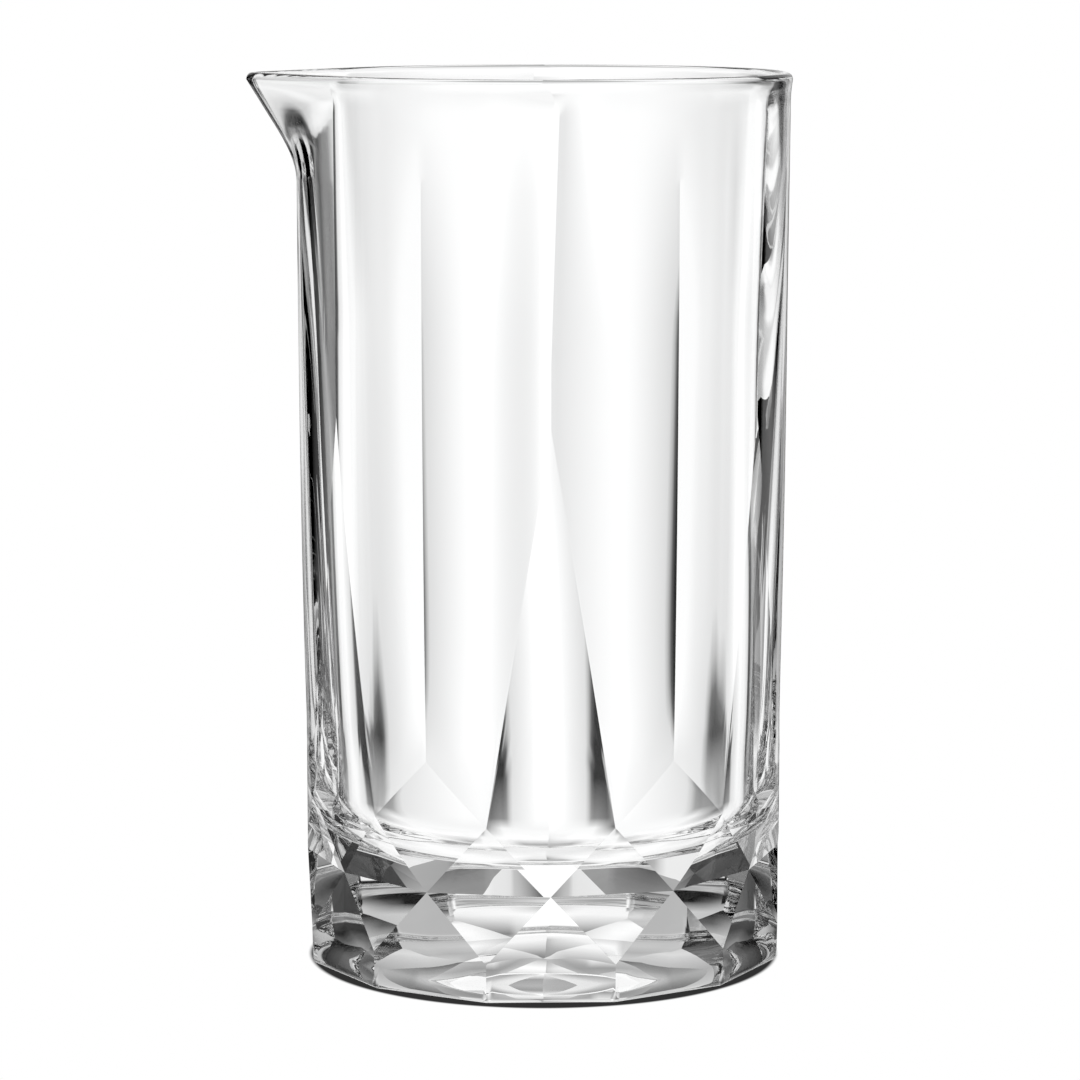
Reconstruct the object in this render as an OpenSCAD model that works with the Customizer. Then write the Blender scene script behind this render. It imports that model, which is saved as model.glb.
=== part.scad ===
// Faceted stirring vessel of clear pressed glass with a pulled pouring lip.
// One piece of glass. Z up, resting plane at z = 0, glass axis on Z, lip towards -X.

/* [Vessel] */
// Height from the resting plane to the rim
height = 152; // [120:1:190]
// Outer radius of the wall below the rim
body_r = 41.95; // [32:0.05:52]
// How far the fire-polished rim stands out from the wall
rim_bead = 0.35; // [0:0.05:1]
// Thickness of the glass at the rim
rim_wall = 2.4; // [1.6:0.1:4]
// Height of the inside floor above the resting plane
floor_z = 21.5; // [8:0.5:30]
// Inside radius just above the floor's rounded corner
floor_r = 35.4; // [26:0.1:40]
// Radius of the rounded corner between the inside floor and wall
corner_r = 9; // [2:0.5:14]

/* [Lip] */
// How far the pouring lip reaches past the wall
lip_reach = 8.5; // [3:0.1:14]
// Height over which the lip runs back into the wall
lip_drop = 18.4; // [8:0.2:40]
// Radius of the lip's nose in plan
lip_nose_r = 4.6; // [3:0.1:10]

/* [Facets] */
// Height of the tip of each tall kite facet
kite_tip_z = 95.4; // [60:0.1:120]
// Height of the upper tip of each short diamond
short_tip_z = 39.9; // [34:0.1:60]
// Height of the side corners shared by kites and diamonds
side_z = 29.5; // [22:0.1:33]
// Height of the horizontal crease through the lower diamonds
crease_z = 17.9; // [12:0.1:21]
// Height of the lower tip of each lower diamond
lower_tip_z = 6.55; // [5:0.05:11]
// Radius at the short diamonds' upper tips
short_tip_r = 40.9; // [38:0.05:42]
// Radius at the shared side corners
side_r = 41; // [38:0.05:42]
// Radius at the bottom of the kites
kite_foot_r = 39.55; // [37:0.05:42]
// Radius at the bottom of the short diamonds
short_foot_r = 40.9; // [37:0.05:42]
// Radius at the lower diamonds' lower tips
lower_tip_r = 41.4; // [37:0.05:42]

/* [Panels] */
// Height above which the wall stops narrowing towards the base
fade_z = 140; // [110:1:150]
// Height where the ridges above the short diamonds begin
ridge_top = 144; // [120:1:150]
// Height below which those ridges are at full depth
ridge_full = 113; // [90:1:118]
// Slope of the panels beside a ridge, rise over run
ridge_slope = 0.078; // [0:0.002:0.15]
// Slope of the panels on the sharp side of the line above a kite, rise over run
valley_slope = 0.165; // [0:0.005:0.25]
// Slope factor of the panels on the soft side of that line
soft_slope = 1.09; // [0:0.01:1.5]
// How many degrees the line above a kite leans by the time it reaches the rim
lean = 2; // [0:0.1:4]
// Height where that lean begins
lean_from = 106; // [96:1:140]
// Height over which the panels settle onto the short diamonds
blend = 16; // [8:1:40]

/* [Foot] */
// Radius of the foot's corners just above its rounded edge
foot_r = 41.3; // [37:0.05:42]
// Height of the foot's rounded edge
foot_edge = 0.9; // [0.4:0.1:2]
// Radius of the domed hollow under the base
punt_r = 34; // [15:0.5:36]
// Depth of the hollow at its middle
punt_depth = 3.4; // [0.2:0.1:6]

/* [Hidden] */
step = 3;
half = 15;
bead_top = rim_wall / 2;
rim_r = body_r + rim_bead;
arc = body_r * PI / 180;

// columns: an even fan of angles, twice as fine around the lip
cols = concat([for (a = [0 : step : 135]) a],
              [for (a = [135 + step / 2 : step / 2 : 225]) a],
              [for (a = [225 + step : step : 360 - step]) a]);
nc = len(cols);

// angle from the nearest kite column, from 0 at a kite to 30 at a short diamond
function fold(th) = let (m = (th + 330) % 60) m > 30 ? 60 - m : m;
// signed angle from the nearest kite column, -30 to 30
function side_of(th) = (th + 360) % 60 - 30;
function clamp01(x) = min(1, max(0, x));

// where the straight edge from corner p to corner q crosses angle a; corners are [radius, z, angle]
function edge(p, q, a) =
    a == p[2] ? [p[0], p[1]] : a == q[2] ? [q[0], q[1]] :
    let (px = p[0] * cos(p[2]), py = p[0] * sin(p[2]),
         qx = q[0] * cos(q[2]), qy = q[0] * sin(q[2]),
         t = (px * sin(a) - py * cos(a)) / ((px - qx) * sin(a) - (py - qy) * cos(a)),
         x = px + t * (qx - px), y = py + t * (qy - py))
    [sqrt(x * x + y * y), p[1] + t * (q[1] - p[1])];

side = [side_r, side_z, half];
kite_foot = [kite_foot_r, crease_z, 0];
short_foot = [short_foot_r, crease_z, 2 * half];
lower_tip = [lower_tip_r, lower_tip_z, half];

// the short diamonds are gently rounded: their radius at angle a and height z
function short_r(a, z) =
    let (t = (short_tip_z - z) / (short_tip_z - crease_z),
         s = (2 * half - a) / half,
         mid = short_tip_r + (short_foot_r - short_tip_r) * (short_tip_z - side_z) / (short_tip_z - crease_z))
    short_tip_r + (short_foot_r - short_tip_r) * t + (side_r - mid) * s * s;

// lower boundary of the long panels: down a kite's long edges, then up to the short tip
function low_edge(b, q) =
    let (a = abs(b))
    a < half ? let (z = kite_tip_z - (kite_tip_z - side_z) * tan(a) / tan(half)) [panel_free(b, z, q), z]
    : let (z = side_z + (short_tip_z - side_z) * (a - half) / half) [short_r(a, z), z];
// lower boundary of the kites and short diamonds
function mid_edge(a) =
    a <= half ? edge(kite_foot, side, a)
    : let (z = side_z + (crease_z - side_z) * (a - half) / half) [short_r(a, z), z];
// horizontal crease through the lower diamonds
function crease(a) = edge(kite_foot, short_foot, a);
// lower boundary of the lower diamonds
function low2_edge(a) = a <= half ? edge(kite_foot, lower_tip, a) : edge(lower_tip, short_foot, a);

// fall of a panel towards the line above a kite, on its sharp side and on its soft side, c degrees away
function steep(c, z) =
    let (w = 16 - 9 * clamp01((z - 110) / 40)) c < w ? valley_slope * w / 2.2 * arc * pow(1 - c / w, 2.2) : 0;
function soft(c) =
    let (w = c / 20) c < 20 ? soft_slope * 20 * arc * (pow(1 - w, 3.2) * w / 3.2 + pow(1 - w, 4.2) / 13.44) : 0;

// long panels, b degrees from a kite's line at height z; q marks the plainer panel beside the lip
function panel_free(b, z, q) =
    let (u = clamp01((fade_z - z) / 100), c = abs(b), t = 2 * half - c,
         wall = body_r - 0.25 * u - 0.8 * u * u * u,
         full = clamp01((ridge_top - z) / (ridge_top - ridge_full)) * ridge_slope * 14 / 2.5 * arc,
         ridge = full * (t < 14 ? 1 - pow(1 - t / 14, 2.5) : 1),
         hard = clamp01((151 - z) / 2.5),
         ease = clamp01((157 - z) / 24),
         low = 0.45 * pow(clamp01((70 - z) / 40), 2) * (c < half ? 1 : t / half),
         w = clamp01((c - 9) / 21))
    b >= 0 ? wall - ridge + low - hard * steep(c, z)
    : q ? wall - ridge * w + low - (hard * steep(0, z) + ridge * (1 - w)) * (1 - w * w * (3 - 2 * w))
    : wall - ridge + low - ease * soft(c) - (hard * steep(0, z) - ease * soft(0)) * clamp01(1 - c / half);
function panel(b, z, q) =
    let (low = low_edge(b, q),
         miss = low[0] - panel_free(b, low[1], q),
         k = clamp01(1 - (z - low[1]) / blend))
    panel_free(b, z, q) + miss * k * k;

// kite flats: distance of the flat from the axis at its left and right edge, and half its width as an angle
function kite_flat(z, q) =
    let (x = side_r * cos(half), m = kite_foot_r + (x - kite_foot_r) * (z - crease_z) / (side_z - crease_z),
         e = atan(tan(half) * (kite_tip_z - z) / (kite_tip_z - side_z)), k = clamp01((z - side_z) / 12))
    z <= side_z ? [m, m, half]
    : [x + (panel_free(-e, z, q) * cos(e) - x) * k, x + (panel_free(e, z, false) * cos(e) - x) * k, e];
function kite_r(b, z, q) =
    let (f = kite_flat(z, q), t = f[2] > 0.01 ? clamp01(0.5 + 0.5 * tan(b) / tan(f[2])) : 0.5)
    (f[0] + (f[1] - f[0]) * t) / cos(b);

// twelve-sided foot with corners of radius r
function foot(a, r) = r * cos(half) / cos(a < half ? a : 2 * half - a);

// pulled lip: how much of its reach is left at height z
function lip_left(z) = let (s = clamp01((height - z) / lip_drop)) (1 - s) * (1 - s) * (1 + 1.25 * s);
// radius, at angle th, of a round wall of radius r drawn out to the lip's nose
function drawn(th, r, nose, z) =
    let (al = abs(th - 180), far = r + lip_reach * lip_left(z), c = far - nose)
    far - r < 0.02 ? r :
    let (be = acos((r - nose) / c), a1 = atan2(nose * sin(be), c + nose * cos(be)))
    al >= be ? r : al >= a1 ? r / cos(be - al) : c * cos(al) + sqrt(nose * nose - pow(c * sin(al), 2));

function bead(z) = let (t = clamp01(1 - (height - bead_top - z) / 4)) rim_bead * t * t;
function outer(th, z, b, q) =
    let (t = clamp01(1 - (height - bead_top - z) / 4), r = panel(b, z, q))
    r + (rim_r - r) * t * t + drawn(th, body_r + bead(z), lip_nose_r, z) - body_r - bead(z);
function wall_in(z) = (rim_r - rim_wall) + (floor_r - rim_r + rim_wall) * (height - z) / (height - floor_z - corner_r);
function inner(th, z) =
    let (r = wall_in(z)) drawn(th, r, max(1.2, lip_nose_r - (rim_r - r)), z);

// the vessel's section at column th, from under the base, up the outside, over the rim and down the inside;
// each point is [radius, height, angle], since the lines above the kites lean
function section(th) =
    let (a = fold(th), b = side_of(th), q = th > 180 && th < 240,
         turn = lean * (1 - abs(b) / (2 * half)) / (height - lean_from),
         low = low_edge(b, q), mid = mid_edge(a), top = height - bead_top, zt = height - lip_drop,
         rim = th + turn * (height - lean_from), tt = th + turn * (top - lean_from),
         ro = outer(tt, top, b, q), ri = inner(rim, top), rm = (ro + ri) / 2, rh = (ro - ri) / 2)
    concat(
        [[foot(a, foot_r - foot_edge / cos(half)), 0, th],
         [foot(a, foot_r - 0.293 * foot_edge / cos(half)), 0.293 * foot_edge, th],
         [foot(a, foot_r), foot_edge, th]],
        [for (p = [low2_edge(a), crease(a), mid]) [p[0], p[1], th]],
        [for (f = [0.25, 0.5, 0.75]) let (z = mid[1] + (low[1] - mid[1]) * f)
            [a > half ? short_r(a, z) : kite_r(b, z, q), z, th]],
        [[low[0], low[1], th]],
        [for (f = [0.08, 0.22, 0.4, 0.6, 0.8]) let (z = low[1] + (zt - low[1]) * f)
            [panel(b, z, q), z, th + turn * max(0, z - lean_from)]],
        [for (f = [1, 0.8, 0.6, 0.4, 0.2]) let (z = height - lip_drop * f, g = th + turn * (z - lean_from))
            [outer(g, z, b, q), z, g]],
        [[ro, top, tt]],
        [for (g = [45, 90, 135]) [rm + rh * cos(g), top + bead_top * sin(g), rim]],
        [[ri, top, rim]],
        [for (f = [0.25, 0.5, 0.75, 1]) let (z = height - lip_drop * f, g = th + turn * (z - lean_from)) [inner(g, z), z, g]],
        [for (g = [0, 22.5, 45, 67.5, 90])
            [floor_r - corner_r + corner_r * cos(g), floor_z + corner_r - corner_r * sin(g), th]]
    );

sections = [for (th = cols) section(th)];
nr = len(sections[0]);
// rows that meet at a shared corner use one point
function row(i, j) =
    let (a = fold(cols[j % nc]))
    a == half && i > 5 && i < 10 ? 5 : (a == 0 || a == 2 * half) && (i == 4 || i == 5) ? 3 : i;
function at(i, j) = row(i, j) * nc + (j % nc);
function tri(a, b, c) = a == b || b == c || a == c ? [] : [[a, b, c]];

module mixing_glass() {
    pts = concat(
        [for (i = [0 : nr - 1]) for (j = [0 : nc - 1])
            let (p = sections[j][i]) [p[0] * cos(p[2]), p[0] * sin(p[2]), p[1]]],
        [[0, 0, 0], [0, 0, floor_z]]);
    faces = concat(
        [for (i = [0 : nr - 2]) for (j = [0 : nc - 1]) each
            concat(tri(at(i, j), at(i + 1, j), at(i + 1, j + 1)), tri(at(i, j), at(i + 1, j + 1), at(i, j + 1)))],
        [for (j = [0 : nc - 1]) [nr * nc, at(0, j), at(0, j + 1)]],
        [for (j = [0 : nc - 1]) [nr * nc + 1, at(nr - 1, j + 1), at(nr - 1, j)]]);
    color([0.86, 0.93, 0.93, 0.35]) difference() {
        polyhedron(points = pts, faces = faces, convexity = 6);
        // domed hollow that leaves a flat standing ring
        rotate_extrude($fn = 96) polygon(concat([[0, -1], [punt_r, -1]],
            [for (i = [0 : 8]) [punt_r * (1 - i / 8), punt_depth * (1 - pow(1 - i / 8, 2))]]));
    }
}

mixing_glass();
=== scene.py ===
import math
import bpy
import numpy as np
from mathutils import Vector, Matrix


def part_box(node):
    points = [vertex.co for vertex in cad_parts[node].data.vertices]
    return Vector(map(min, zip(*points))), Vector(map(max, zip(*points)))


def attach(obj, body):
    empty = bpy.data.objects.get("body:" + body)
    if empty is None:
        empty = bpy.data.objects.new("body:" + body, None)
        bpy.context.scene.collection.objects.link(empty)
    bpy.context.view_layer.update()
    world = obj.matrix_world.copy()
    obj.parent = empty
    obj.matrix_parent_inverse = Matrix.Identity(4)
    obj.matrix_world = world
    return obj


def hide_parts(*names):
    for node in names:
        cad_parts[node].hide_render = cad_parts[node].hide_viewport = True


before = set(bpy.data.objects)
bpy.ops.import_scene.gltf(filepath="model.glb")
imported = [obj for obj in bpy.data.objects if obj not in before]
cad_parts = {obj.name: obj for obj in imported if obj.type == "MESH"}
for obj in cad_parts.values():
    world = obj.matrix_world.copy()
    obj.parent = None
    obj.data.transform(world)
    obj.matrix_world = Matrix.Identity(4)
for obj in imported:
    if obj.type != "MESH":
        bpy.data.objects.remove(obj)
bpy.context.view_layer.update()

MM = 0.001
sc = bpy.context.scene

# ---------------------------------------------------------------- the glass's own sizes, in millimetres
lo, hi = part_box("mixing_glass")
HEIGHT = hi.z / MM                       # rim height comes from the CAD frame
RIM_R = hi.x / MM                        # and so does the rim radius
BEAD = 0.35
BODY_R = RIM_R - BEAD
ARC = BODY_R * math.pi / 180.0
RIM_WALL = 2.4
BEAD_TOP = RIM_WALL / 2
FLOOR_Z, FLOOR_R, CORNER_R = 21.5, 35.4, 9.0
LIP_DROP, LIP_NOSE = 18.4, 4.6
S_TOP = BEAD_TOP / LIP_DROP              # the lip is measured where the rim's rounding starts, so its full reach is more
LIP_REACH = (-lo.x / MM - RIM_R) / ((1.0 - S_TOP) ** 2 * (1.0 + 1.25 * S_TOP))
KITE_TIP_Z, SIDE = 95.4, (41.0, 29.5, 15.0)
CREASE_Z = 17.9
KITE_FOOT, SHORT_FOOT = (39.55, CREASE_Z, 0.0), (40.9, CREASE_Z, 30.0)
LOWER_TIP = (41.4, 6.55, 15.0)
SHORT_TIP_Z, SHORT_TIP_R = 39.9, 40.9
FADE_Z = 140.0
RIDGE_TOP, RIDGE_FULL = 144.0, 113.0
LEAN, LEAN_FROM = 2.0, 106.0
BLEND = 16.0
FOOT_R, FOOT_EDGE = 41.3, 0.9
PUNT_R, PUNT_DEPTH = 34.0, 3.4
D = math.pi / 180.0
DIST, CAM_Z, PITCH, AZ = 0.7187, 0.1743, 8.12, 1.78   # where the camera stands


def fold(th):
    m = (th + 330.0) % 60.0
    return 60.0 - m if m > 30.0 else m


def clamp01(x):
    return min(1.0, max(0.0, x))


def edge(p, q, a):
    if a == p[2]:
        return p[0], p[1]
    if a == q[2]:
        return q[0], q[1]
    px, py = p[0] * math.cos(p[2] * D), p[0] * math.sin(p[2] * D)
    qx, qy = q[0] * math.cos(q[2] * D), q[0] * math.sin(q[2] * D)
    s, c = math.sin(a * D), math.cos(a * D)
    t = (px * s - py * c) / ((px - qx) * s - (py - qy) * c)
    return math.hypot(px + t * (qx - px), py + t * (qy - py)), p[1] + t * (q[1] - p[1])


def short_r(a, z):
    t = (SHORT_TIP_Z - z) / (SHORT_TIP_Z - CREASE_Z)
    s = (30.0 - a) / 15.0
    mid = SHORT_TIP_R + (SHORT_FOOT[0] - SHORT_TIP_R) * (SHORT_TIP_Z - SIDE[1]) / (SHORT_TIP_Z - CREASE_Z)
    return SHORT_TIP_R + (SHORT_FOOT[0] - SHORT_TIP_R) * t + (SIDE[0] - mid) * s * s


def low_edge(b, q=False):
    """Where the panel stops: down the kite's long edges and up to the short tip."""
    a = abs(b)
    if a < 15.0:
        z = KITE_TIP_Z - (KITE_TIP_Z - SIDE[1]) * math.tan(a * D) / math.tan(15.0 * D)
        return panel_free(b, z, q), z
    z = SIDE[1] + (SHORT_TIP_Z - SIDE[1]) * (a - 15.0) / 15.0
    return short_r(a, z), z


def kite_flat(z, q):
    """Distance of the kite's flat from the axis, at its left and right edge."""
    if z <= SIDE[1]:
        x = KITE_FOOT[0] + (SIDE[0] * math.cos(15.0 * D) - KITE_FOOT[0]) * (z - CREASE_Z) / (SIDE[1] - CREASE_Z)
        return x, x, 15.0
    e = math.atan(math.tan(15.0 * D) * (KITE_TIP_Z - z) / (KITE_TIP_Z - SIDE[1])) / D
    k = clamp01((z - SIDE[1]) / 12.0)
    x = SIDE[0] * math.cos(15.0 * D)
    l, r = panel_free(-e, z, q) * math.cos(e * D), panel_free(e, z) * math.cos(e * D)
    return x + (l - x) * k, x + (r - x) * k, e


def kite_r(b, z, q):
    l, r, e = kite_flat(z, q)
    t = 0.5 + 0.5 * math.tan(b * D) / math.tan(e * D) if e > 0.01 else 0.5
    return (l + (r - l) * min(1.0, max(0.0, t))) / math.cos(b * D)


def mid_edge(a):
    if a <= 15.0:
        return edge(KITE_FOOT, SIDE, a)
    z = SIDE[1] + (CREASE_Z - SIDE[1]) * (a - 15.0) / 15.0
    return short_r(a, z), z


def crease(a):
    return edge(KITE_FOOT, SHORT_FOOT, a)


def low2_edge(a):
    return edge(KITE_FOOT, LOWER_TIP, a) if a <= 15.0 else edge(LOWER_TIP, SHORT_FOOT, a)


def side_of(th):
    """Angle from the nearest kite's middle line, -30 to 30."""
    return (th + 360.0) % 60.0 - 30.0


def steep(b, z):
    """How far the panel has fallen from the ridge towards the middle line above the kite, its steep side."""
    w = 16.0 - 9.0 * clamp01((z - 110.0) / 40.0)
    return 0.165 * w / 2.2 * ARC * (1.0 - b / w) ** 2.2 if b < w else 0.0


def soft(b):
    """The same on the soft side, where the fall is steepest part of the way across."""
    w = b / 20.0
    return 1.09 * 20.0 * ARC * ((1.0 - w) ** 3.2 * w / 3.2 + (1.0 - w) ** 4.2 / 13.44) if b < 20.0 else 0.0


def panel_free(b, z, q=False):
    u, c = clamp01((FADE_Z - z) / 100.0), abs(b)
    d = 0.25 * u + 0.8 * u ** 3
    t = 30.0 - c
    ridge = clamp01((RIDGE_TOP - z) / (RIDGE_TOP - RIDGE_FULL)) * 0.078 * 14.0 / 2.5 * ARC
    ridge *= 1.0 - (1.0 - t / 14.0) ** 2.5 if t < 14.0 else 1.0
    hard = clamp01((151.0 - z) / 2.5)
    ease = clamp01((157.0 - z) / 24.0)
    low = 0.45 * clamp01((70.0 - z) / 40.0) ** 2 * (1.0 if c < 15.0 else t / 15.0)
    if b >= 0.0:
        return BODY_R - d - ridge + low - hard * steep(c, z)
    if q:
        w = clamp01((c - 9.0) / 21.0)
        return BODY_R - d - ridge * w + low - (hard * steep(0.0, z) + ridge * (1.0 - w)) * (1.0 - w * w * (3.0 - 2.0 * w))
    gap = hard * steep(0.0, z) - ease * soft(0.0)
    return BODY_R - d - ridge + low - ease * soft(c) - gap * clamp01(1.0 - c / 15.0)


def panel(b, z, q):
    lr, lz = low_edge(b, q)
    k = clamp01(1.0 - (z - lz) / BLEND)
    return panel_free(b, z, q) + (lr - panel_free(b, lz, q)) * k * k


def lean(b, z):
    """The line above each kite leans a little as it rises."""
    return LEAN * clamp01((z - LEAN_FROM) / (HEIGHT - LEAN_FROM)) * (1.0 - abs(b) / 30.0)


def foot(a, r=FOOT_R):
    return r * math.cos(15.0 * D) / math.cos((a if a < 15.0 else 30.0 - a) * D)


def lip_left(z):
    s = clamp01((HEIGHT - z) / LIP_DROP)
    return (1.0 - s) ** 2 * (1.0 + 1.25 * s)


def drawn(th, r, nose, z):
    al = abs(th - 180.0)
    far = r + LIP_REACH * lip_left(z)
    if far - r < 0.02:
        return r
    c = far - nose
    be = math.acos((r - nose) / c) / D
    a1 = math.atan2(nose * math.sin(be * D), c + nose * math.cos(be * D)) / D
    if al >= be:
        return r
    if al >= a1:
        return r / math.cos((be - al) * D)
    return c * math.cos(al * D) + math.sqrt(max(0.0, nose * nose - (c * math.sin(al * D)) ** 2))


def bead(z):
    t = clamp01(1.0 - (HEIGHT - BEAD_TOP - z) / 4.0)
    return BEAD * t * t


def outer(th, z, b, q):
    t, r = clamp01(1.0 - (HEIGHT - BEAD_TOP - z) / 4.0), panel(b, z, q)
    return r + (RIM_R - r) * t * t + drawn(th, BODY_R + bead(z), LIP_NOSE, z) - BODY_R - bead(z)


def wall_in(z):
    r0 = RIM_R - RIM_WALL
    return r0 + (FLOOR_R - r0) * (HEIGHT - z) / (HEIGHT - FLOOR_Z - CORNER_R)


def inner(th, z):
    r = wall_in(z)
    return drawn(th, r, max(1.2, LIP_NOSE - (RIM_R - r)), z)


def steps(n, closed=False):
    return [i / n for i in range(0 if closed else 1, n + 1)]


# ---------------------------------------------------------------- one closed skin of glass, row by row
def columns():
    fine, coarse, out, a = 0.3125, 1.25, [], 0.0
    while a < 360.0 - 1e-9:
        out.append(a)
        a += fine if 139.9 < a < 219.9 else coarse
    return out


def section(th0):
    """Points (angle, radius, height, tag) from under the base, up the outside, over the rim and down to the floor."""
    a, b = fold(th0), side_of(th0)
    at_z = lambda z: th0 + lean(b, z)
    q = 180.0 < th0 < 240.0              # the panel beside the lip has no soft side
    low, mid = low_edge(b, q), mid_edge(a)
    cr, l2 = crease(a), low2_edge(a)
    top, zt = HEIGHT - BEAD_TOP, HEIGHT - LIP_DROP
    p = []
    for f in steps(5):
        p.append((PUNT_R * f, PUNT_DEPTH * (1.0 - f * f), ""))
    ft = foot(a)
    for g in (0.0, 22.5, 45.0, 67.5):
        s, c = math.sin(g * D), 1.0 - math.cos(g * D)
        p.append((foot(a, FOOT_R - FOOT_EDGE * (1.0 - s) / math.cos(15.0 * D)), FOOT_EDGE * c, "rest"))
    p.append((ft, FOOT_EDGE, "foot"))
    lerp = lambda u, v, f: (u[0] + (v[0] - u[0]) * f, u[1] + (v[1] - u[1]) * f)
    p.append((*lerp((ft, FOOT_EDGE), l2, 0.5), "footwall"))
    p.append((*l2, "low2"))
    p.append((*lerp(l2, cr, 0.5), "lt"))
    p.append((*cr, "crease"))
    p.append((*lerp(cr, mid, 0.5), "ut"))
    p.append((*mid, "mid"))
    for f in steps(12)[:-1]:
        z = mid[1] + (low[1] - mid[1]) * f
        p.append((short_r(a, z) if a > 15.0 else kite_r(b, z, q), z, "kd"))
    p.append((*low, "low"))
    for f in steps(26)[:-1]:
        z = low[1] + (zt - low[1]) * f ** 1.15
        p.append((panel(b, z, q), z, "panel"))
    p.append((outer(at_z(zt), zt, b, q), zt, "panel"))
    for f in steps(14)[:-1]:
        z = zt + (top - zt) * f
        p.append((outer(at_z(z), z, b, q), z, "lip"))
    rim = at_z(HEIGHT)
    ro, ri = outer(at_z(top), top, b, q), inner(rim, top)
    rm, rh = (ro + ri) / 2, (ro - ri) / 2
    for g in range(0, 181, 15):
        p.append((rm + rh * math.cos(g * D), top + BEAD_TOP * math.sin(g * D), "rim"))
    for f in steps(14)[:-1]:
        z = top + (zt - top) * f
        p.append((inner(at_z(z), z), z, "in"))
    for f in [0.0] + steps(8)[:-1]:
        z = zt + (FLOOR_Z + CORNER_R - zt) * f
        p.append((inner(at_z(z), z), z, "in"))
    for g in range(0, 91, 9):
        p.append((FLOOR_R - CORNER_R + CORNER_R * math.cos(g * D), FLOOR_Z + CORNER_R * (1.0 - math.sin(g * D)), "in"))
    for f in (0.75, 0.5, 0.25):
        p.append(((FLOOR_R - CORNER_R) * f, FLOOR_Z, "in"))
    return [(rim if t == "rim" else at_z(z), r, z, t) for r, z, t in p]


cols = columns()
sections = [section(th) for th in cols]
tags = [q[3] for q in sections[0]]
nr, nc = len(tags), len(cols)
ROW = {t: tags.index(t) for t in ("rest", "foot", "low2", "crease", "mid", "low")}
folds = [fold(th) for th in cols]


def row(i, j):
    """Rows that meet at a shared corner use one point."""
    a = folds[j]
    if a == 15.0 and ROW["mid"] < i <= ROW["low"]:
        return ROW["mid"]
    if (a == 0.0 or a == 30.0) and ROW["low2"] < i <= ROW["mid"]:
        return ROW["low2"]
    return i


ids, verts = {}, []
for i in range(nr):
    for j in range(nc):
        k = (row(i, j), j)
        if k not in ids:
            g, r, z, _ = sections[j][k[0]]
            ids[k] = len(verts)
            verts.append((r * math.cos(g * D) * MM, r * math.sin(g * D) * MM, z * MM))


def at(i, j):
    j %= nc
    return ids[(row(i, j), j)]


under, inside = len(verts), len(verts) + 1
verts += [(0.0, 0.0, PUNT_DEPTH * MM), (0.0, 0.0, FLOOR_Z * MM)]
faces = []
for i in range(nr - 1):
    for j in range(nc):
        f = []
        for v in (at(i, j), at(i, j + 1), at(i + 1, j + 1), at(i + 1, j)):
            if v not in f:
                f.append(v)
        if len(f) > 2:
            faces.append(tuple(f))
for j in range(nc):
    faces.append((under, at(0, j + 1), at(0, j)))
    faces.append((inside, at(nr - 1, j), at(nr - 1, j + 1)))

mesh = bpy.data.meshes.new("mixing_glass_look")
mesh.from_pydata(verts, [], faces)
mesh.update()
mesh.shade_smooth()
sharp = set()
for j in range(nc):
    a0, a1 = folds[j], folds[(j + 1) % nc]
    for t in ("low2", "crease", "mid", "low"):
        sharp.add(tuple(sorted((at(ROW[t], j), at(ROW[t], j + 1)))))
    if a0 == 15.0:
        for i in range(ROW["foot"], ROW["low2"]):
            sharp.add(tuple(sorted((at(i, j), at(i + 1, j)))))
    if a0 in (0.0, 30.0):
        for i in range(ROW["low"], nr):
            if tags[i + 1] not in ("panel", "lip") or sections[j][i][2] > (147.0 if a0 == 0.0 else 136.0):
                break
            sharp.add(tuple(sorted((at(i, j), at(i + 1, j)))))
flags = [tuple(sorted(e.vertices)) in sharp for e in mesh.edges]
attr = mesh.attributes.new("sharp_edge", "BOOLEAN", "EDGE")
attr.data.foreach_set("value", flags)
glass = bpy.data.objects.new("glass_vessel", mesh)
sc.collection.objects.link(glass)


# ---------------------------------------------------------------- material
IOR, FAR_IOR = 1.52, 1.0                 # the far wall is kept from bending what the near wall already bent


def ramp_of(N, stops, lo, hi):
    r = N.new("ShaderNodeValToRGB")
    e = r.color_ramp.elements
    while len(e) < len(stops):
        e.new(0.5)
    for el, (x, v) in zip(e, stops):
        el.position = (x - lo) / (hi - lo)
        el.color = (v, v, v, 1)
    return r


def math_node(N, L, op, a, b=None):
    m = N.new("ShaderNodeMath")
    m.operation = op
    for k, v in ((0, a), (1, b)):
        if v is None:
            continue
        if isinstance(v, float):
            m.inputs[k].default_value = v
        else:
            L.new(v, m.inputs[k])
    return m.outputs[0]


def new_material(name):
    m = bpy.data.materials.new(name)
    m.use_nodes = True
    m.node_tree.nodes.clear()
    return m, m.node_tree.nodes, m.node_tree.links


mat, N, L = new_material("clear_glass")
out = N.new("ShaderNodeOutputMaterial")
bsdf = N.new("ShaderNodeBsdfPrincipled")
bsdf.inputs["Transmission Weight"].default_value = 1.0
bsdf.inputs["IOR"].default_value = 1.52
bsdf.inputs["Roughness"].default_value = 0.0
tc = N.new("ShaderNodeTexCoord")
noise = N.new("ShaderNodeTexNoise")
noise.inputs["Scale"].default_value = 22.0
noise.inputs["Detail"].default_value = 2.0
ramp = N.new("ShaderNodeValToRGB")
ramp.color_ramp.elements[0].color = (0.982, 0.984, 0.984, 1)
ramp.color_ramp.elements[1].color = (0.997, 0.999, 0.999, 1)
L.new(tc.outputs["Object"], noise.inputs["Vector"])
L.new(noise.outputs["Fac"], ramp.inputs["Fac"])
L.new(ramp.outputs["Color"], bsdf.inputs["Base Color"])
path = N.new("ShaderNodeLightPath")
far = math_node(N, L, "GREATER_THAN", path.outputs["Transmission Depth"], 1.5)
ior = N.new("ShaderNodeMapRange")
ior.inputs["To Min"].default_value = IOR
ior.inputs["To Max"].default_value = FAR_IOR
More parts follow.
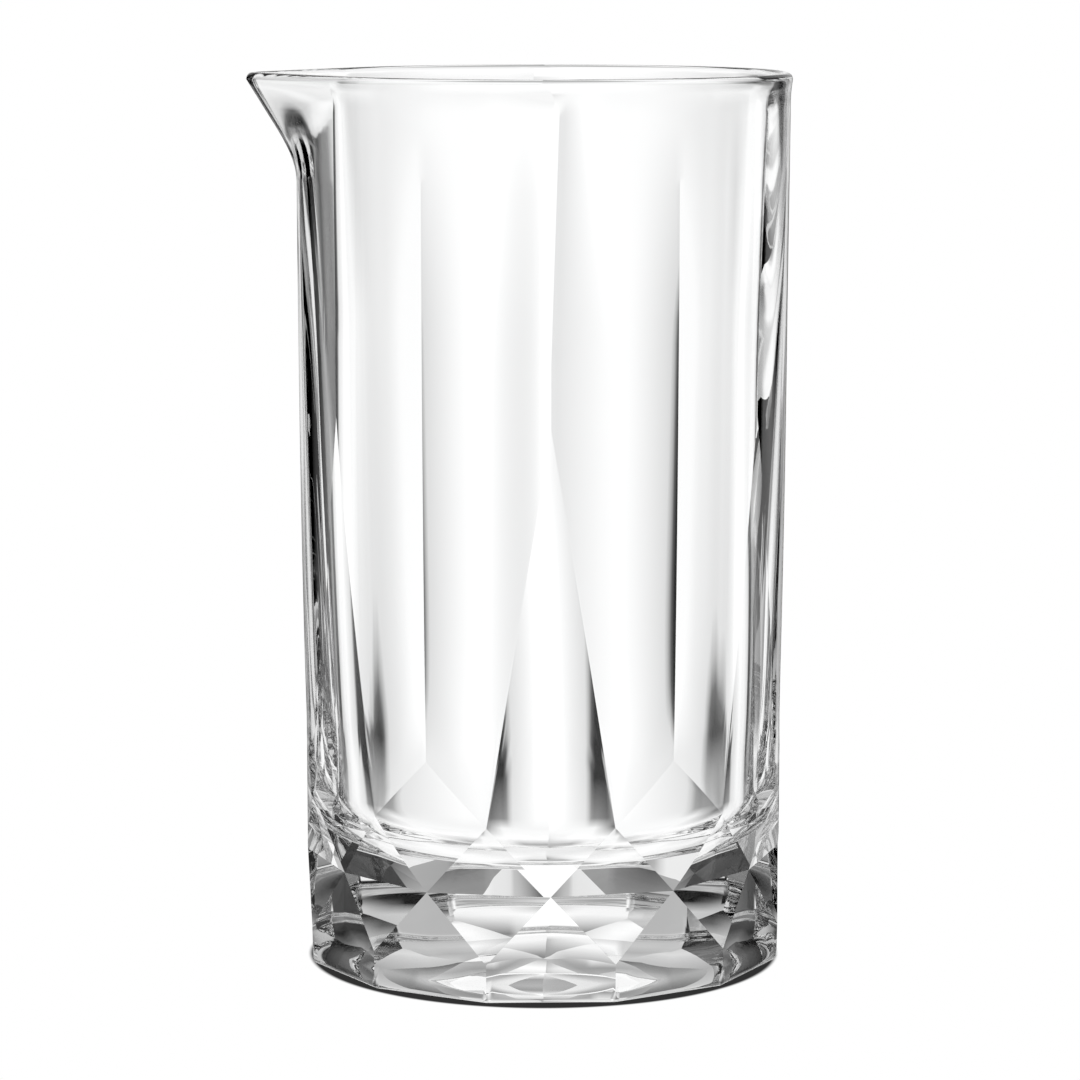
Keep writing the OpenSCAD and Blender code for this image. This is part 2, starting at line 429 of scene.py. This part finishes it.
L.new(far, ior.inputs["Value"])
L.new(ior.outputs["Result"], bsdf.inputs["IOR"])
L.new(bsdf.outputs["BSDF"], out.inputs["Surface"])
mesh.materials.append(mat)

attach(glass, "root")
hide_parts("mixing_glass")

# ---------------------------------------------------------------- soft studio light round the camera's own line of sight
# each row: degrees above the line of sight, then (degrees to either side, brightness) pairs. A bright window straight
# behind the glass, black cards at its edges, soft boxes to the sides, and panels with gaps above. The same left and right


def both(pairs):
    """The same to the left as to the right."""
    return [(-a, v) for a, v in reversed(pairs) if a] + pairs


WINDOW = [(0, 1.0), (2, 1.0), (6, 0.7), (7, 0.0), (10, 0.0), (12, 0.4), (22, 0.5), (24, 0.0), (40, 0.0), (50, 0.9),
          (64, 0.9), (66, 0.0), (115, 0.0), (180, 0.4)]
STUDIO = [
    (-75.0, both([(0, 0.8), (180, 0.8)])),
    (-50.0, both([(0, 0.2), (10, 0.8), (20, 1.0), (60, 1.0), (90, 0.6), (180, 0.5)])),
    (-30.0, both([(0, 0.5), (6, 0.3), (10, 0.9), (40, 0.9), (60, 0.5), (180, 0.5)])),
    (-20.0, both([(0, 0.7), (5, 1.0), (12, 1.0), (25, 0.8), (40, 0.5), (180, 0.5)])),
    (-10.0, both([(0, 1.0), (8, 0.9), (12, 0.1), (20, 0.1), (22, 0.8), (32, 0.9), (35, 0.0), (60, 0.0), (64, 0.8),
                  (92, 0.8), (96, 0.0), (150, 0.0), (156, 0.5), (180, 0.5)])),
    (-4.0, both(WINDOW)),
    (5.0, both(WINDOW)),
    (10.0, both([(0, 1.0), (5, 0.9), (8, 0.4), (22, 0.6), (25, 0.0), (55, 0.0), (60, 0.6), (100, 0.5), (105, 0.0),
                 (140, 0.0), (145, 0.7), (180, 0.6)])),
    (16.0, both([(0, 0.4), (4, 0.9), (8, 1.0), (13, 0.5), (22, 0.7), (26, 0.0), (60, 0.0), (64, 0.7), (95, 0.6), (98, 0.1),
                 (130, 0.1), (134, 0.7), (180, 0.5)])),
    (24.0, both([(0, 0.3), (5, 0.6), (9, 1.0), (14, 0.4), (28, 0.6), (32, 0.1), (58, 0.1), (62, 0.7), (95, 0.7), (98, 0.1),
                 (130, 0.1), (134, 0.7), (180, 0.5)])),
    (32.0, both([(0, 0.3), (5, 0.2), (10, 1.0), (18, 0.3), (28, 0.6), (50, 0.1), (180, 0.5)])),
    (40.0, both([(0, 0.5), (4, 1.0), (8, 0.4), (14, 0.6), (20, 0.1), (55, 0.1), (180, 0.4)])),
    (50.0, both([(0, 0.2), (8, 0.3), (16, 1.0), (28, 0.3), (55, 0.7), (180, 0.4)])),
    (80.0, both([(0, 0.7), (180, 0.5)])),
]
GAIN = 1.1


def studio(N, L):
    """A colour by the direction a ray travels, seen from the camera."""
    geo = N.new("ShaderNodeNewGeometry")
    vt = N.new("ShaderNodeVectorTransform")
    vt.vector_type = "VECTOR"
    vt.convert_from, vt.convert_to = "WORLD", "CAMERA"
    L.new(geo.outputs["Incoming"], vt.inputs["Vector"])
    sep = N.new("ShaderNodeSeparateXYZ")
    L.new(vt.outputs[0], sep.inputs[0])
    x = math_node(N, L, "MULTIPLY", sep.outputs["X"], -1.0)
    y = math_node(N, L, "MULTIPLY", sep.outputs["Y"], -1.0)
    z = math_node(N, L, "MULTIPLY", sep.outputs["Z"], -1.0)
    turn = math_node(N, L, "ARCTAN2", x, z)
    # square root, so that the finely graded part near the line of sight gets most of the ramp
    side = math_node(N, L, "POWER", math_node(N, L, "DIVIDE", math_node(N, L, "ABSOLUTE", turn), math.pi), 0.5)
    side = math_node(N, L, "MULTIPLY", side, math_node(N, L, "SIGN", turn))
    half = math_node(N, L, "ADD", math_node(N, L, "MULTIPLY", side, 0.5), 0.5)
    right = math_node(N, L, "GREATER_THAN", side, 0.0)
    up = math_node(N, L, "MULTIPLY", math_node(N, L, "ARCSINE", y), 180.0 / math.pi)
    level = None
    for k, (el, stops) in enumerate(STUDIO):
        # one ramp for the left and one for the right, since a ramp holds 32 stops
        ramps = []
        for part in ([t for t in stops if t[0] < 0], [t for t in stops if t[0] >= 0]):
            r = ramp_of(N, [(math.copysign(math.sqrt(abs(a) / 180.0), a), v) for a, v in part], -1.0, 1.0)
            L.new(half, r.inputs["Fac"])
            ramps.append(r)
        pick = N.new("ShaderNodeMix")
        pick.data_type = "RGBA"
        L.new(right, pick.inputs["Factor"])
        L.new(ramps[0].outputs["Color"], pick.inputs["A"])
        L.new(ramps[1].outputs["Color"], pick.inputs["B"])
        if level is None:
            level = pick.outputs["Result"]
            continue
        f = N.new("ShaderNodeMapRange")
        f.inputs["From Min"].default_value, f.inputs["From Max"].default_value = STUDIO[k - 1][0], el
        L.new(up, f.inputs["Value"])
        m = N.new("ShaderNodeMix")
        m.data_type = "RGBA"
        L.new(f.outputs["Result"], m.inputs["Factor"])
        L.new(level, m.inputs["A"])
        L.new(pick.outputs["Result"], m.inputs["B"])
        level = m.outputs["Result"]
    gain = N.new("ShaderNodeVectorMath")
    gain.operation = "SCALE"
    gain.inputs["Scale"].default_value = GAIN
    L.new(level, gain.inputs[0])
    lp = N.new("ShaderNodeLightPath")
    mix = N.new("ShaderNodeMix")
    mix.data_type = "RGBA"
    L.new(lp.outputs["Is Camera Ray"], mix.inputs["Factor"])
    L.new(gain.outputs[0], mix.inputs["A"])
    mix.inputs["B"].default_value = (1, 1, 1, 1)
    return mix.outputs["Result"]


fm = bpy.data.meshes.new("floor")
S = 3.0
fm.from_pydata([(-S, -S, -0.0002), (S, -S, -0.0002), (S, S, -0.0002), (-S, S, -0.0002)], [], [(0, 1, 2, 3)])
floor = bpy.data.objects.new("floor", fm)
sc.collection.objects.link(floor)
fmat, N, L = new_material("pale_floor")
out = N.new("ShaderNodeOutputMaterial")
em = N.new("ShaderNodeEmission")
# painted contact shadow: a thin dark ring in the floor's emission, seen by camera rays only, shifted a little towards
# the camera as if thrown by the window behind the glass
SHADE_R, SHADE_SOFT, SHADE_SHIFT = 0.0400, 0.0010, 0.0016
where = N.new("ShaderNodeNewGeometry")
apart = N.new("ShaderNodeVectorMath")
apart.operation = "DISTANCE"
L.new(where.outputs["Position"], apart.inputs[0])
apart.inputs[1].default_value = (-SHADE_SHIFT * math.sin(AZ * D), -SHADE_SHIFT * math.cos(AZ * D), -0.0002)
shade = N.new("ShaderNodeMapRange")
shade.interpolation_type = "SMOOTHSTEP"
shade.inputs["From Min"].default_value, shade.inputs["From Max"].default_value = SHADE_R, SHADE_R + SHADE_SOFT
shade.inputs["To Min"].default_value = 0.03
L.new(apart.outputs["Value"], shade.inputs["Value"])
# the painted shadow darkens the floor for camera rays only; other rays see the studio light unchanged
seen = N.new("ShaderNodeLightPath")
dim = N.new("ShaderNodeMix")
dim.data_type = "FLOAT"
L.new(seen.outputs["Is Camera Ray"], dim.inputs["Factor"])
dim.inputs["A"].default_value = 1.0
L.new(shade.outputs["Result"], dim.inputs["B"])
L.new(dim.outputs["Result"], em.inputs["Strength"])
L.new(studio(N, L), em.inputs["Color"])
L.new(em.outputs[0], out.inputs["Surface"])
fm.materials.append(fmat)

world = bpy.data.worlds.new("studio")
sc.world = world
world.use_nodes = True
N, L = world.node_tree.nodes, world.node_tree.links
N.clear()
wout = N.new("ShaderNodeOutputWorld")
bg = N.new("ShaderNodeBackground")
L.new(studio(N, L), bg.inputs["Color"])
L.new(bg.outputs[0], wout.inputs["Surface"])

# ---------------------------------------------------------------- camera
cam_data = bpy.data.cameras.new("camera")
cam_data.sensor_width = 36.0
cam_data.lens = 4214.0 / 1080.0 * 36.0
cam = bpy.data.objects.new("camera", cam_data)
sc.collection.objects.link(cam)
cam.rotation_mode = "XYZ"
# the glass's -Y column shows AZ degrees right of centre, so the camera stands that far left of -Y
a = math.radians(AZ)
cam.location = (-DIST * math.sin(a) - 0.00056 * math.cos(a), -DIST * math.cos(a), CAM_Z)
cam.rotation_euler = (math.radians(90.0 - PITCH), 0.0, -a)
cam_data.clip_start, cam_data.clip_end = 0.01, 100.0
sc.camera = cam

sc.view_settings.view_transform = "Standard"
sc.cycles.max_bounces = 32
sc.cycles.transmission_bounces = 32
sc.cycles.glossy_bounces = 16
